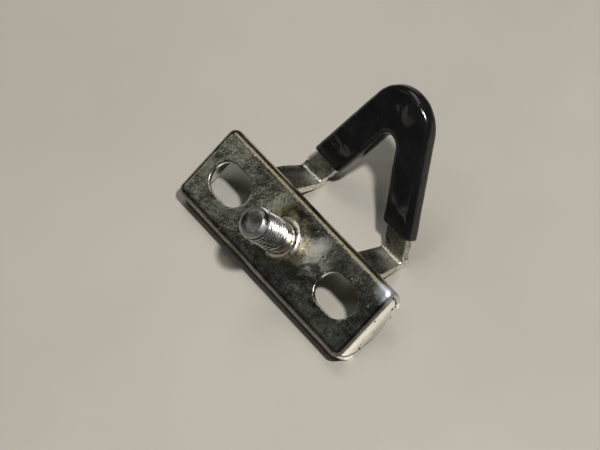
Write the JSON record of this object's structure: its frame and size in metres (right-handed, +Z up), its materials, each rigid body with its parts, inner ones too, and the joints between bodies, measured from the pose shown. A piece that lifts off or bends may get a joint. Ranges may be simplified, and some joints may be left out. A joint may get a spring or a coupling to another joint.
{
  "type": "shutter holdback",
  "caption": "Slotted channel plate with a central threaded stud and a sprung V-shaped hook in a dipped sleeve, for holding a shutter or panel open.",
  "frame": {"origin": "middle of the bounding box's underside, on the surface that the part lies on", "axes": "+X along the mounting plate, +Y from the plate towards the hook's tip, +Z up from the surface that the part lies on"},
  "size_m": [0.075, 0.064, 0.0372],
  "materials": {
    "plate_chrome": "worn bright chrome plate with small pits",
    "hook_chrome": "dull chrome plate over stamped strip",
    "stud_steel": "zinc plated, cut thread",
    "inner_steel": "plain zinc plated",
    "spring_steel": "dark oiled wire",
    "braze": "dull braze with rust stain",
    "black_vinyl": "glossy dipped vinyl with scuffs"
  },
  "bodies": {
    "plate": {"mounting_plate": "plate_chrome", "threaded_stud": "stud_steel", "braze_collar": "braze", "bearing_plate_left": "inner_steel", "bearing_plate_right": "inner_steel", "pivot_pin": "inner_steel", "torsion_spring_left": "spring_steel", "torsion_spring_right": "spring_steel"},
    "hook": {"hook_strap": "hook_chrome", "hook_sleeve": "black_vinyl", "hinge_barrel_left": "inner_steel", "hinge_barrel_right": "inner_steel"}
  },
  "joints": [
    {"name": "hook_hinge", "type": "hinge", "parent": "plate", "child": "hook", "pos_m": [0, -0.01074, 0.01122], "axis": [1, 0, 0], "range_deg": [-85, 0], "stiffness_Nm_per_rad": 0.012, "springref_deg": 40.11}
  ]
}
